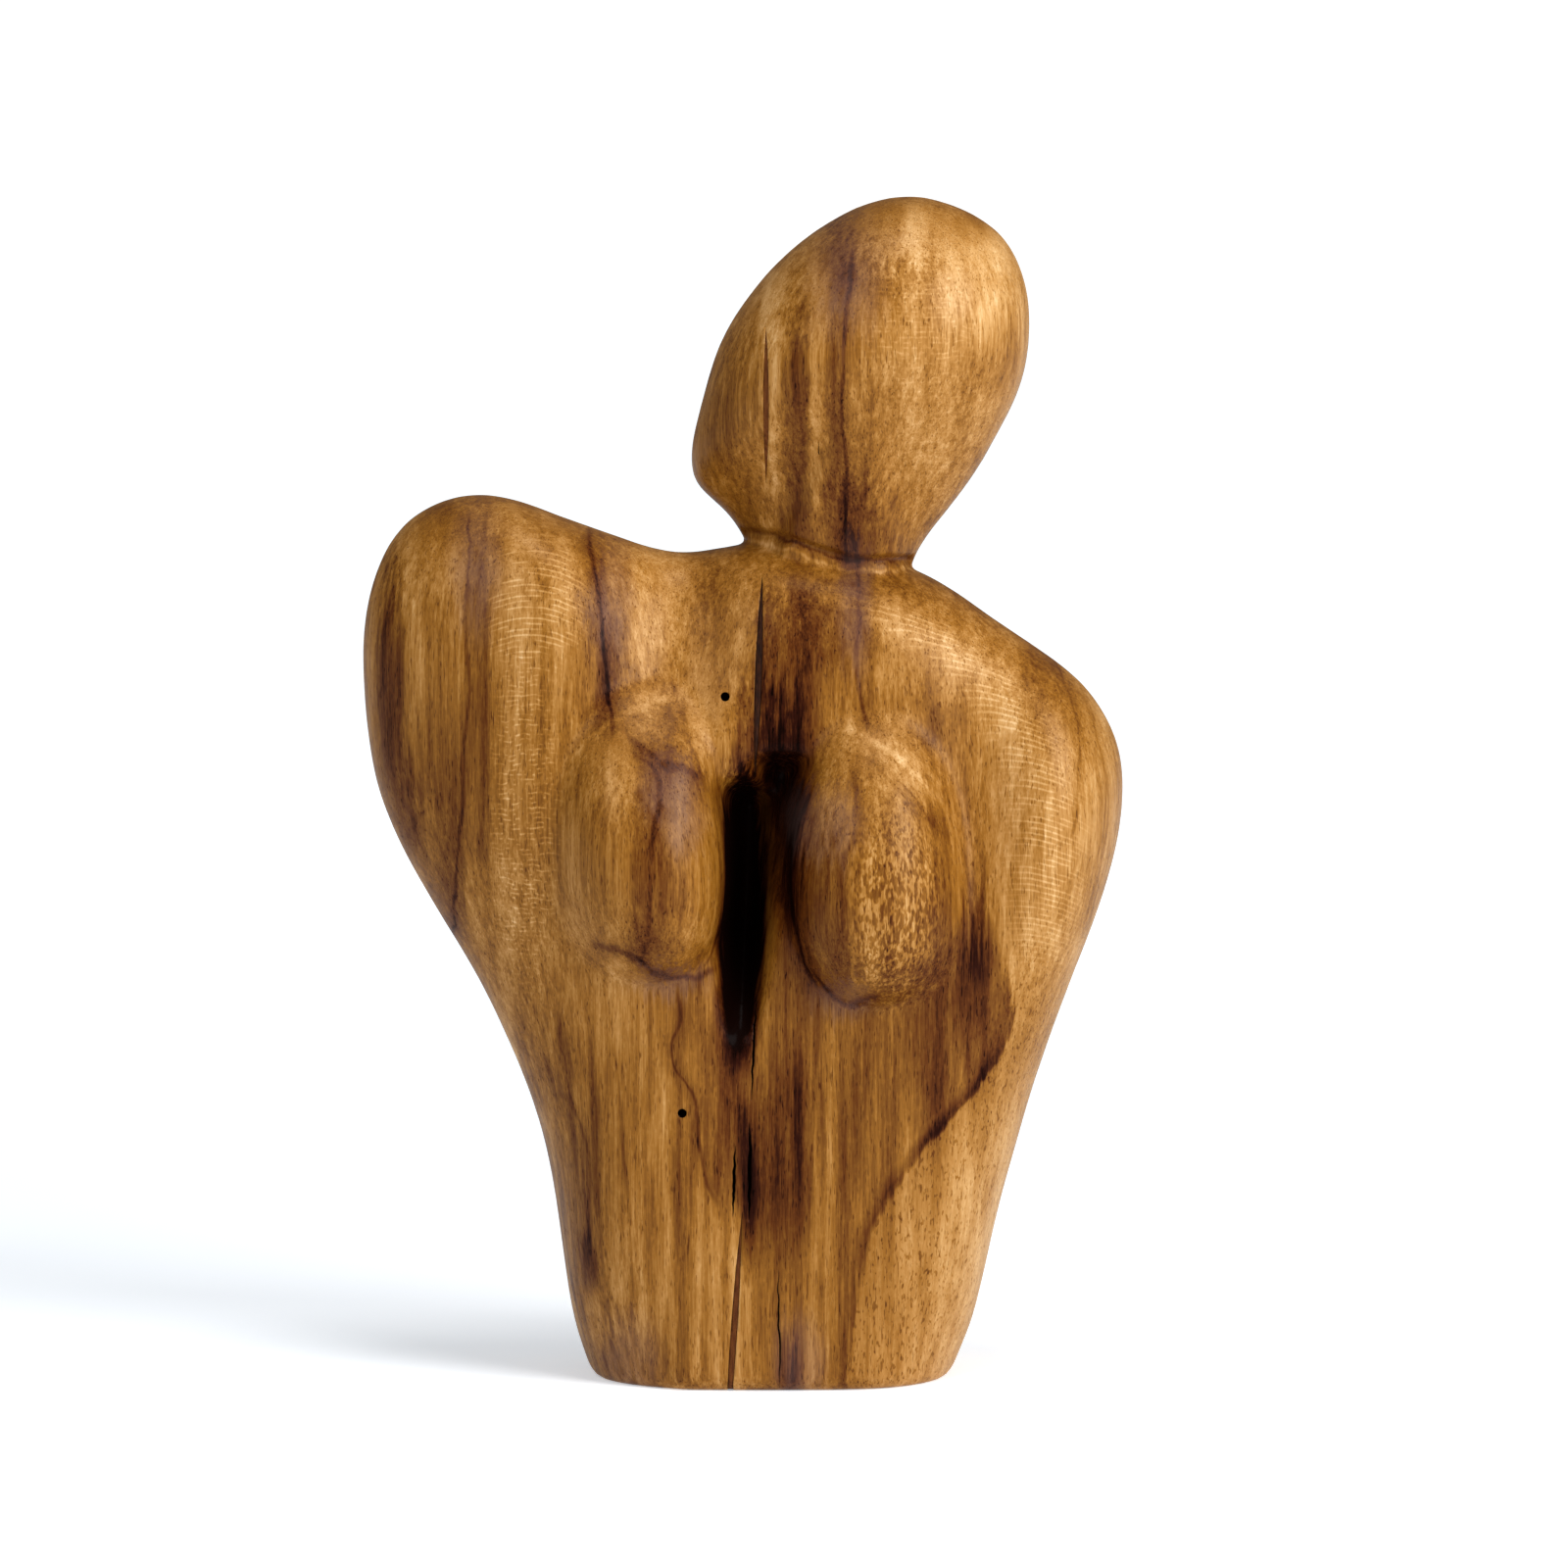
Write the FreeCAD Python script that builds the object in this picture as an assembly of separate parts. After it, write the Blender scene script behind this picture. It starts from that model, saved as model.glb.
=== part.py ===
"""Abstract carved bust: one block of wood, with its three drying checks stopped with dark filler.

Millimetres. +Z is up, the figure faces -Y, and the origin is the centre of the flat foot.
Each rounded mass is a front and a back spline patch that meet on the outline. A depth is worked
out at each point of the front view, and the mass swells out of its outline to that depth.
"""

import math
import os

import FreeCAD
import Part

V = FreeCAD.Vector

# ---- driving dimensions -------------------------------------------------------------------------
FIGURE_HEIGHT = 200.0  # floor to crown
FIGURE_WIDTH = 129.0  # raised shoulder's side to low shoulder's side
TORSO_FRONT_DEPTH = 24.0  # mid-plane to the front of the belly
TORSO_BACK_DEPTH = 24.0  # mid-plane to the back
HEAD_FRONT_DEPTH = 22.0
HEAD_BACK_DEPTH = 22.0
NECK_DEPTH_DROP = 10.0  # how much thinner the neck is than the head, each way
FOOT_FLARE = 1.2  # how much thicker the foot is than the belly, each way
FOOT_ROUNDING = 2.4  # radius of the edge round the foot

# ---- outlines, as shares of the figure's width (from the foot's centre) and height --------------
TORSO_OUTLINE = (
    (-0.170, -0.180),
    (-0.243, 0.000),
    (-0.264, 0.042),
    (-0.280, 0.100),
    (-0.298, 0.180),
    (-0.346, 0.275),
    (-0.415, 0.363),
    (-0.478, 0.432),
    (-0.522, 0.499),
    (-0.541, 0.582),
    (-0.532, 0.666),
    (-0.478, 0.727),
    (-0.389, 0.748),
    (-0.294, 0.733),
    (-0.205, 0.712),
    (-0.120, 0.699),
    (-0.040, 0.706),
    (0.070, 0.704),
    (0.195, 0.681),
    (0.312, 0.632),
    (0.408, 0.584),
    (0.451, 0.536),
    (0.457, 0.485),
    (0.435, 0.415),
    (0.388, 0.332),
    (0.343, 0.249),
    (0.307, 0.170),
    (0.283, 0.105),
    (0.258, 0.042),
    (0.233, 0.000),
    (0.160, -0.180),
    (0.000, -0.280),
)
TORSO_CENTRE = (-0.021, 0.415)

HEAD_OUTLINE = (
    (-0.040, 0.640),
    (-0.042, 0.713),
    (-0.068, 0.736),
    (-0.104, 0.759),
    (-0.110, 0.785),
    (-0.100, 0.818),
    (-0.077, 0.867),
    (-0.033, 0.917),
    (0.045, 0.967),
    (0.118, 0.993),
    (0.176, 1.000),
    (0.234, 0.992),
    (0.295, 0.967),
    (0.326, 0.931),
    (0.334, 0.892),
    (0.326, 0.850),
    (0.292, 0.800),
    (0.240, 0.746),
    (0.185, 0.697),
    (0.165, 0.620),
    (0.065, 0.480),
)
HEAD_CENTRE = (0.124, 0.860)
HEAD_ROOT = 0.655  # height of the head's hidden end, inside the torso

# ---- depths that change with height: (share where the change begins, share where it is whole) ---
FLARE_SPAN = (0.30, 0.00)
CHEST_DROP_SPAN = (0.38, 0.60)
BACK_DROP_SPAN = (0.52, 0.70)
SPINE_SPAN = (0.15, 0.35)
NECK_SPAN = (0.88, 0.68)

# ---- how full the edges are: 2 is an ellipse, more is a flatter front and a tighter edge ---------
FULLNESS_RAISED_SIDE = 3.0
FULLNESS_LOW_SIDE = 7.0
FULLNESS_TOP = 7.0
FULLNESS_FOOT = 6.0
FULLNESS_HEAD = 2.3

# ---- carved forms on the front: places are shares of width and height, sizes are mm -------------
RAISED_BREAST = {"x": -0.155, "z": 0.435, "inner": 12.6, "outer": 17.5, "upper": 33.5, "lower": 20.5}
LOW_BREAST = {"x": 0.126, "z": 0.417, "inner": 15.8, "outer": 16.5, "upper": 31.5, "lower": 21.0}
BREAST_RISE = 9.5  # how far a breast stands out of the chest
BREAST_ROOT = 10.0  # how far its egg shape runs on behind the chest's surface
BREAST_SQUARENESS = 2.3  # its outline: 2 is an ellipse
BREAST_FULLNESS = 2.4  # its depth: 2 is an ellipse
BREAST_FALL = 40.0  # how steeply its shape drops away outside its outline
CRISP_BLEND = 1.0  # depth of the blend at a breast's inner and lower edges
SOFT_BLEND = 5.5  # and at its outer and upper edges
BLEND_SPAN = (0.1, 0.9)  # shares of a breast's size over which the first turns into the second
GROOVE = {"top": (-0.031, 0.515), "foot": (-0.046, 0.276), "half_widths": (4.7, 1.7), "depth": 18.0}
SHELF = {"top": (0.012, 0.535), "foot": (0.002, 0.384), "half_widths": (4.2, 3.0), "depth": 10.0}
TRENCH_TOP_SPAN = (-0.02, 0.12)  # shares of a trench's length where its top end drops in
TRENCH_FOOT_SPAN = (1.0, 0.5)  # and where its foot runs out
TRENCH_SQUARENESS = 3.5  # its section: more is a flatter floor and steeper walls
TRENCH_BLEND = 1.5  # depth of the blend between groove and shelf
CHEST_DROP = 3.5  # how far the upper chest lies behind the belly
BACK_DROP = 3.0  # how far the back of the shoulders lies in front of the lower back
SPINE_DEPTH = 2.5  # shallow hollow down the back
SPINE_HALF_WIDTH = 12.0

# Soft mounds and dips: rise in mm, middle and half-widths as shares of width and height.
COLLAR = {"rise": 2.0, "middle": (-0.075, 0.552), "spread": (0.045, 0.035)}
SCOOP = {"rise": -6.5, "middle": (-0.130, 0.680), "spread": (0.085, 0.120)}
VALLEY = {"rise": -2.5, "middle": (0.265, 0.490), "spread": (0.060, 0.120)}

# Upright crests and furrows: they set in over one span of heights and end over another.
RAISED_ARM = {"rise": 2.5, "x": -0.285, "spread": 0.100, "sets_in": (0.30, 0.50), "ends": (1.2, 1.1)}
LOW_ARM = {"rise": 2.5, "x": 0.385, "spread": 0.070, "sets_in": (0.25, 0.42), "ends": (1.2, 1.1)}
FURROW = {"rise": -0.8, "x": -0.040, "spread": 0.045, "sets_in": (0.05, 0.18), "ends": (0.40, 0.28)}

# ---- drying checks and slits: (x share, z share) of both ends, widest width, y of their floor ----
HEAD_CHECK = {"top": (-0.0117, 0.890), "foot": (-0.0117, 0.760), "width": 0.9, "floor": -9.5}
CHEST_CHECK = {"top": (-0.0168, 0.682), "foot": (-0.0262, 0.514), "width": 1.2, "floor": -11.0}
FOOT_CHECK = {"top": (-0.0430, 0.150), "foot": (-0.0650, -0.060), "width": 1.1, "floor": -20.5}
LONG_SLIT = {"top": (-0.0326, 0.227), "foot": (-0.0332, 0.144), "width": 0.6, "floor": -21.0}
SHORT_SLIT = {"top": (-0.0520, 0.207), "foot": (-0.0545, 0.148), "width": 0.5, "floor": -21.5}

# ---- insect pinholes: x share, z share, y of the floor ------------------------------------------
CHEST_PINHOLE = (-0.0646, 0.582, -15.5)
BELLY_PINHOLE = (-0.1203, 0.2345, -20.0)
PINHOLE_RADIUS = 0.75

# ---- surface grids ------------------------------------------------------------------------------
TORSO_GRID = (112, 132)  # poles across, poles up
HEAD_GRID = (44, 48)
OUTLINE_STEPS = 1500


def at_width(share):
    return share * FIGURE_WIDTH


def at_height(share):
    return share * FIGURE_HEIGHT


def smooth(edge0, edge1, value):
    """0 before edge0, 1 after edge1, with a smooth step between."""
    t = min(1.0, max(0.0, (value - edge0) / (edge1 - edge0)))
    return t * t * (3.0 - 2.0 * t)


def bell(value, half_width):
    return math.exp(-((value / half_width) ** 2))


def smooth_max(a, b, reach):
    """The larger of a and b, with the corner between them rounded over a depth of reach."""
    gap = max(reach - abs(a - b), 0.0) / reach
    return max(a, b) + gap * gap * reach * 0.25


# ---- outlines and the patches on them -----------------------------------------------------------
def closed_outline(shares):
    """Closely spaced (x, z) points round the closed curve through the outline."""
    curve = Part.BSplineCurve()
    curve.interpolate(Points=[V(at_width(x), 0, at_height(z)) for x, z in shares], PeriodicFlag=True)
    return [(p.x, p.z) for p in curve.discretize(Number=OUTLINE_STEPS)]


def above(outline, floor):
    """The part of a closed outline above a height, from its left end there to its right end."""
    loop = outline[:-1]
    start = next(k for k in range(len(loop)) if loop[k - 1][1] <= floor < loop[k][1])
    loop = loop[start - 1 :] + loop[: start - 1]
    count = next(k for k in range(1, len(loop)) if loop[k][1] <= floor)
    kept = loop[: count + 1]

    def crossing(low, high):
        t = (floor - low[1]) / (high[1] - low[1])
        return (low[0] + t * (high[0] - low[0]), floor)

    return [crossing(kept[0], kept[1])] + kept[1:-1] + [crossing(kept[-1], kept[-2])]


def resampled(path, shares):
    """Points at shares of a path's length."""
    lengths = [0.0]
    for a, b in zip(path, path[1:]):
        lengths.append(lengths[-1] + math.dist(a, b))
    found = []
    k = 0
    for share in shares:
        target = share * lengths[-1]
        while k < len(path) - 2 and lengths[k + 1] < target:
            k += 1
        t = (target - lengths[k]) / (lengths[k + 1] - lengths[k])
        found.append(tuple(a + t * (b - a) for a, b in zip(path[k], path[k + 1])))
    return found


def closing_in(t):
    """0..1 to 0..1: even at the start, with ever smaller steps towards the end."""
    return t + t**3 * (1.0 - t)


def closing_in_both_ways(t):
    s = 2.0 * t - 1.0
    return 0.5 + 0.5 * math.copysign(closing_in(abs(s)), s)


def plan_grid(path, grid):
    """(x, z) points filling the region under an outline path: a Coons patch between its left side,
    its top, its right side and the straight line that closes it."""
    across = [closing_in_both_ways(i / (grid[0] - 1)) for i in range(grid[0])]
    up = [closing_in_both_ways(j / (grid[1] - 1)) for j in range(grid[1])]
    left_corner = max(range(len(path)), key=lambda k: path[k][1] - path[k][0])
    right_corner = max(range(len(path)), key=lambda k: path[k][1] + path[k][0])
    left = resampled(path[: left_corner + 1], up)
    right = resampled(path[right_corner:][::-1], up)
    top = resampled(path[left_corner : right_corner + 1], across)
    foot = resampled([path[0], path[-1]], across)
    columns = []
    for i, u in enumerate(across):
        column = []
        for j, v in enumerate(up):
            point = []
            for k in (0, 1):
                sides = (1 - u) * left[j][k] + u * right[j][k]
                ends = (1 - v) * foot[i][k] + v * top[i][k]
                low = (1 - u) * foot[0][k] + u * foot[-1][k]
                high = (1 - u) * top[0][k] + u * top[-1][k]
                point.append(sides + ends - (1 - v) * low - v * high)
            column.append(tuple(point))
        columns.append(column)
    return columns


class Swell:
    """How far a mass has swelled at a point of its front view: 0 on the outline, 1 well inside."""

    def __init__(self, outline, centre, fullness):
        self.centre = centre
        self.fullness = fullness
        rays = sorted((self.angle(p), math.dist(p, centre)) for p in outline[:-1])
        self.angles = [a for a, _ in rays]
        self.reaches = [r for _, r in rays]

    def angle(self, point):
        return math.atan2(point[1] - self.centre[1], point[0] - self.centre[0])

    def reach(self, angle):
        low, high = 0, len(self.angles)
        while low < high:
            middle = (low + high) // 2
            if self.angles[middle] < angle:
                low = middle + 1
            else:
                high = middle
        before, after = low - 1, low % len(self.angles)
        span = (self.angles[after] - self.angles[before]) % (2 * math.pi)
        t = ((angle - self.angles[before]) % (2 * math.pi)) / span if span else 0.0
        return self.reaches[before] + t * (self.reaches[after] - self.reaches[before])

    def at(self, x, z):
        angle = self.angle((x, z))
        share = min(1.0, math.dist((x, z), self.centre) / self.reach(angle))
        return math.sqrt(1.0 - share ** self.fullness(angle))


def patch(poles):
    """The cubic spline face with this net of poles."""
    counts = (len(poles), len(poles[0]))
    mults = [[4] + [1] * (n - 4) + [4] for n in counts]
    knots = [list(range(n - 2)) for n in counts]
    surface = Part.BSplineSurface()
    surface.buildFromPolesMultsKnots(poles, *mults, *knots, False, False, 3, 3)
    return surface.toShape()


def swollen_mass(path, swell, grid, front_depth, back_depth):
    """A solid with a flat lower end: a front and a back patch that share the outline's edge."""
    plan = plan_grid(path, grid)
    last_column, last_row = grid[0] - 1, grid[1] - 1

    def poles(depth, side):
        net = []
        for i, column in enumerate(plan):
            line = []
            for j, (x, z) in enumerate(column):
                on_outline = i in (0, last_column) or j == last_row
                y = 0.0 if on_outline else side * depth(x, z) * swell.at(x, z)
                line.append(V(x, y, z))
            net.append(line)
        return net

    faces = [patch(poles(front_depth, -1.0)), patch(poles(back_depth, 1.0))]
    floor = plan[0][0][1]
    rim = [e for f in faces for e in f.Edges if e.BoundBox.ZMax - floor < 1e-6]
    faces.append(Part.Face(Part.Wire(Part.__sortEdges__(rim))))
    shell = Part.makeCompound(faces)
    shell.sewShape()
    solid = Part.Solid(shell.Shells[0])
    if solid.Volume < 0:
        solid.reverse()
    return solid


# ---- torso --------------------------------------------------------------------------------------
def foot_inset(z):
    """How far the rounded edge round the foot has drawn in at a height."""
    down = max(0.0, FOOT_ROUNDING - z)
    return FOOT_ROUNDING - math.sqrt(FOOT_ROUNDING**2 - down**2)


def rounded_foot(path):
    """An outline path with its two lower corners rounded."""
    middle = (path[0][0] + path[-1][0]) / 2
    return [(x + math.copysign(foot_inset(z), middle - x), z) for x, z in path]


def torso_fullness(angle):
    """Blends the four sides' fullness round the outline."""
    across = FULLNESS_LOW_SIDE if math.cos(angle) > 0 else FULLNESS_RAISED_SIDE
    along = FULLNESS_TOP if math.sin(angle) > 0 else FULLNESS_FOOT
    return across * math.cos(angle) ** 2 + along * math.sin(angle) ** 2


def with_breast(chest, surface, breast, outward, x, z):
    """A depth with an egg-shaped breast blended onto it. outward is the x direction of its arm."""
    dx = outward * (x - at_width(breast["x"]))
    dz = z - at_height(breast["z"])
    dx /= breast["outer"] if dx > 0 else breast["inner"]
    dz /= breast["upper"] if dz > 0 else breast["lower"]
    r = (abs(dx) ** BREAST_SQUARENESS + abs(dz) ** BREAST_SQUARENESS) ** (1.0 / BREAST_SQUARENESS)
    r **= BREAST_FULLNESS
    if r < 1.0:
        egg = chest - BREAST_ROOT + (BREAST_ROOT + BREAST_RISE) * math.sqrt(1.0 - r)
    else:
        egg = chest - BREAST_ROOT - BREAST_FALL * (r - 1.0)
    softness = smooth(*BLEND_SPAN, max(dx, 0.0) + max(dz, 0.0))
    return smooth_max(surface, egg, CRISP_BLEND + (SOFT_BLEND - CRISP_BLEND) * softness)


def chest_depth(x, z):
    """Depth of the front before the breasts and the trenches between them."""
    wide = x / FIGURE_WIDTH
    share = z / FIGURE_HEIGHT
    depth = TORSO_FRONT_DEPTH + FOOT_FLARE * smooth(*FLARE_SPAN, share)
    depth -= CHEST_DROP * smooth(*CHEST_DROP_SPAN, share)
    for form in (COLLAR, SCOOP, VALLEY):
        across = bell(wide - form["middle"][0], form["spread"][0])
        up = bell(share - form["middle"][1], form["spread"][1])
        depth += form["rise"] * across * up
    for form in (RAISED_ARM, LOW_ARM, FURROW):
        along = smooth(*form["sets_in"], share) * smooth(*form["ends"], share)
        depth += form["rise"] * bell(wide - form["x"], form["spread"]) * along
    return depth


def trench_depth(trench, x, z):
    """Depth of a tapering trench with an abrupt top end and a foot that runs out to the surface."""
    top_x, top_z = at_width(trench["top"][0]), at_height(trench["top"][1])
    foot_x, foot_z = at_width(trench["foot"][0]), at_height(trench["foot"][1])
    down = (top_z - z) / (top_z - foot_z)
    t = min(1.0, max(0.0, down))
    top_width, foot_width = trench["half_widths"]
    off = (x - top_x - t * (foot_x - top_x)) / (top_width + t * (foot_width - top_width))
    along = smooth(*TRENCH_TOP_SPAN, down) * smooth(*TRENCH_FOOT_SPAN, down)
    return trench["depth"] * along / (1.0 + abs(off) ** TRENCH_SQUARENESS)


def torso_front(x, z):
    chest = chest_depth(x, z)
    surface = chest - smooth_max(trench_depth(GROOVE, x, z), trench_depth(SHELF, x, z), TRENCH_BLEND)
    surface = with_breast(chest, surface, RAISED_BREAST, -1.0, x, z)
    return with_breast(chest, surface, LOW_BREAST, 1.0, x, z) - foot_inset(z)


def torso_back(x, z):
    share = z / FIGURE_HEIGHT
    depth = TORSO_BACK_DEPTH + FOOT_FLARE * smooth(*FLARE_SPAN, share)
    depth -= BACK_DROP * smooth(*BACK_DROP_SPAN, share)
    depth -= SPINE_DEPTH * bell(x, SPINE_HALF_WIDTH) * smooth(*SPINE_SPAN, share)
    return depth - foot_inset(z)


def torso():
    outline = closed_outline(TORSO_OUTLINE)
    centre = (at_width(TORSO_CENTRE[0]), at_height(TORSO_CENTRE[1]))
    swell = Swell(outline, centre, torso_fullness)
    path = rounded_foot(above(outline, 0.0))
    return swollen_mass(path, swell, TORSO_GRID, torso_front, torso_back)


# ---- head ---------------------------------------------------------------------------------------
def neck_drop(z):
    return NECK_DEPTH_DROP * smooth(*NECK_SPAN, z / FIGURE_HEIGHT)


def head_front(x, z):
    return HEAD_FRONT_DEPTH - neck_drop(z)


def head_back(x, z):
    return HEAD_BACK_DEPTH - neck_drop(z)


def head():
    outline = closed_outline(HEAD_OUTLINE)
    centre = (at_width(HEAD_CENTRE[0]), at_height(HEAD_CENTRE[1]))
    swell = Swell(outline, centre, lambda angle: FULLNESS_HEAD)
    path = above(outline, at_height(HEAD_ROOT))
    return swollen_mass(path, swell, HEAD_GRID, head_front, head_back)


# ---- checks, slits and pinholes -----------------------------------------------------------------
def check_blade(check):
    """A lens-shaped blade that reaches from in front of the figure to the check's floor."""
    top = V(at_width(check["top"][0]), 0, at_height(check["top"][1]))
    foot = V(at_width(check["foot"][0]), 0, at_height(check["foot"][1]))
    middle = (top + foot) * 0.5
    half = V(check["width"] / 2, 0, 0)
    sides = [Part.Arc(top, middle + side, foot).toShape() for side in (half, -half)]
    lens = Part.Face(Part.Wire(Part.__sortEdges__(sides)))
    front = -2 * TORSO_FRONT_DEPTH
    lens.translate(V(0, front, 0))
    return lens.extrude(V(0, check["floor"] - front, 0))


def pinhole(place):
    x, z, floor = place
    front = -2 * TORSO_FRONT_DEPTH
    return Part.makeCylinder(
        PINHOLE_RADIUS, floor - front, V(at_width(x), front, at_height(z)), V(0, 1, 0)
    )


def main():
    figure = torso().fuse(head())
    blades = {
        "head_check_filler": check_blade(HEAD_CHECK),
        "chest_check_filler": check_blade(CHEST_CHECK),
        "foot_check_filler": check_blade(FOOT_CHECK),
    }
    nodes = {name: blade.common(figure) for name, blade in blades.items()}
    open_cuts = [check_blade(LONG_SLIT), check_blade(SHORT_SLIT)]
    open_cuts += [pinhole(CHEST_PINHOLE), pinhole(BELLY_PINHOLE)]
    nodes["carved_figure"] = figure.cut(list(blades.values()) + open_cuts)
    os.makedirs("parts", exist_ok=True)
    for name, shape in nodes.items():
        shape.Solids[0].exportStep(f"parts/{name}.step")


main()
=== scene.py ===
"""Looks of the carved wooden bust: one block of figured wood, satin waxed, with dark stopped checks.

Everything is in metres in the CAD frame: +Z up, the figure faces -Y, origin at the foot's centre.
The wood's figure is worked out in millimetres inside its material.
"""

import math

import bmesh
import bpy
import numpy as np
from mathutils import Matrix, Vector, bvhtree, noise


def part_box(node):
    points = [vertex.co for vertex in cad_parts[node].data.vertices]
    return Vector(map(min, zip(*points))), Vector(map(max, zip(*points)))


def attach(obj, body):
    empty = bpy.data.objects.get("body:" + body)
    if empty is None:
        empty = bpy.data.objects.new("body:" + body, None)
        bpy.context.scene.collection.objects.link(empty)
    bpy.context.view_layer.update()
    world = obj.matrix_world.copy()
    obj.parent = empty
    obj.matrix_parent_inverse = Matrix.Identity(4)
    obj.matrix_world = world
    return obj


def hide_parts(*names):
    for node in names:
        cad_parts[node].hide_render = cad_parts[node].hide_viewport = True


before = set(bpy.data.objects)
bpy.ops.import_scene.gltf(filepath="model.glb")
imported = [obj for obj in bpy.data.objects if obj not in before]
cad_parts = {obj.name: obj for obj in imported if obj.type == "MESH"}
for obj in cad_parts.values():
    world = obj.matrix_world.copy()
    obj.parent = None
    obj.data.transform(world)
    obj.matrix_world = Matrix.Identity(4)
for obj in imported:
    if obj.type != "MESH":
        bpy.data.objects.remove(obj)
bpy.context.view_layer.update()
SCENE = bpy.context.scene
MM = 0.001
FIGURE_LOW, FIGURE_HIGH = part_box("carved_figure")
WIDTH = FIGURE_HIGH.x - FIGURE_LOW.x
HEIGHT = FIGURE_HIGH.z - FIGURE_LOW.z
FILLERS = ("head_check_filler", "chest_check_filler", "foot_check_filler")


# ---- node helpers -------------------------------------------------------------------------------
def feed(tree, socket, value):
    """Links a field or another socket to an input, or sets the input to a constant."""
    if isinstance(value, Field):
        tree.links.new(value.socket, socket)
    elif isinstance(value, bpy.types.NodeSocket):
        tree.links.new(value, socket)
    elif socket.type == "RGBA":
        socket.default_value = (*value, 1)
    else:
        socket.default_value = value


class Field:
    """A value in a shader that arithmetic can be done on."""

    def __init__(self, tree, socket):
        self.tree, self.socket = tree, socket

    def math(self, operation, *others):
        node = self.tree.nodes.new("ShaderNodeMath")
        node.operation = operation
        for socket, value in zip(node.inputs, (self, *others)):
            feed(self.tree, socket, value)
        return Field(self.tree, node.outputs[0])

    def __add__(self, other):
        return self.math("ADD", other)

    def __sub__(self, other):
        return self.math("SUBTRACT", other)

    def __mul__(self, other):
        return self.math("MULTIPLY", other)

    def swing(self, size):
        """Turns noise from 0 to 1 into a swing of this size about 0."""
        return (self - 0.5) * size

    def size(self):
        return self.math("ABSOLUTE")

    def ramp(self, low, high, out_low=0.0, out_high=1.0):
        """Smooth step from out_low at low to out_high at high."""
        node = self.tree.nodes.new("ShaderNodeMapRange")
        node.interpolation_type = "SMOOTHSTEP"
        limits = {"From Min": low, "From Max": high, "To Min": out_low, "To Max": out_high}
        for name, value in limits.items():
            node.inputs[name].default_value = value
        feed(self.tree, node.inputs["Value"], self)
        return Field(self.tree, node.outputs["Result"])

    def curve(self, points):
        """The smooth curve through (input, output) points, both in millimetres."""
        ins = [p[0] for p in points]
        outs = [p[1] for p in points]
        low, span = min(ins), max(ins) - min(ins)
        bottom, rise = min(outs) - 1.0, max(outs) - min(outs) + 2.0
        node = self.tree.nodes.new("ShaderNodeFloatCurve")
        track = node.mapping.curves[0]
        spots = sorted(((i - low) / span, (o - bottom) / rise) for i, o in points)
        while len(track.points) < len(spots):
            track.points.new(0.5, 0.5)
        for point, spot in zip(track.points, spots):
            point.location = spot
        node.mapping.update()
        feed(self.tree, node.inputs["Value"], self.math("MULTIPLY_ADD", 1 / span, -low / span))
        return Field(self.tree, node.outputs[0]).math("MULTIPLY_ADD", rise, bottom)


def total(fields):
    first, *others = fields
    for field in others:
        first = first + field
    return first


def largest(fields):
    first, *others = fields
    for field in others:
        first = first.math("MAXIMUM", field)
    return first


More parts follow.
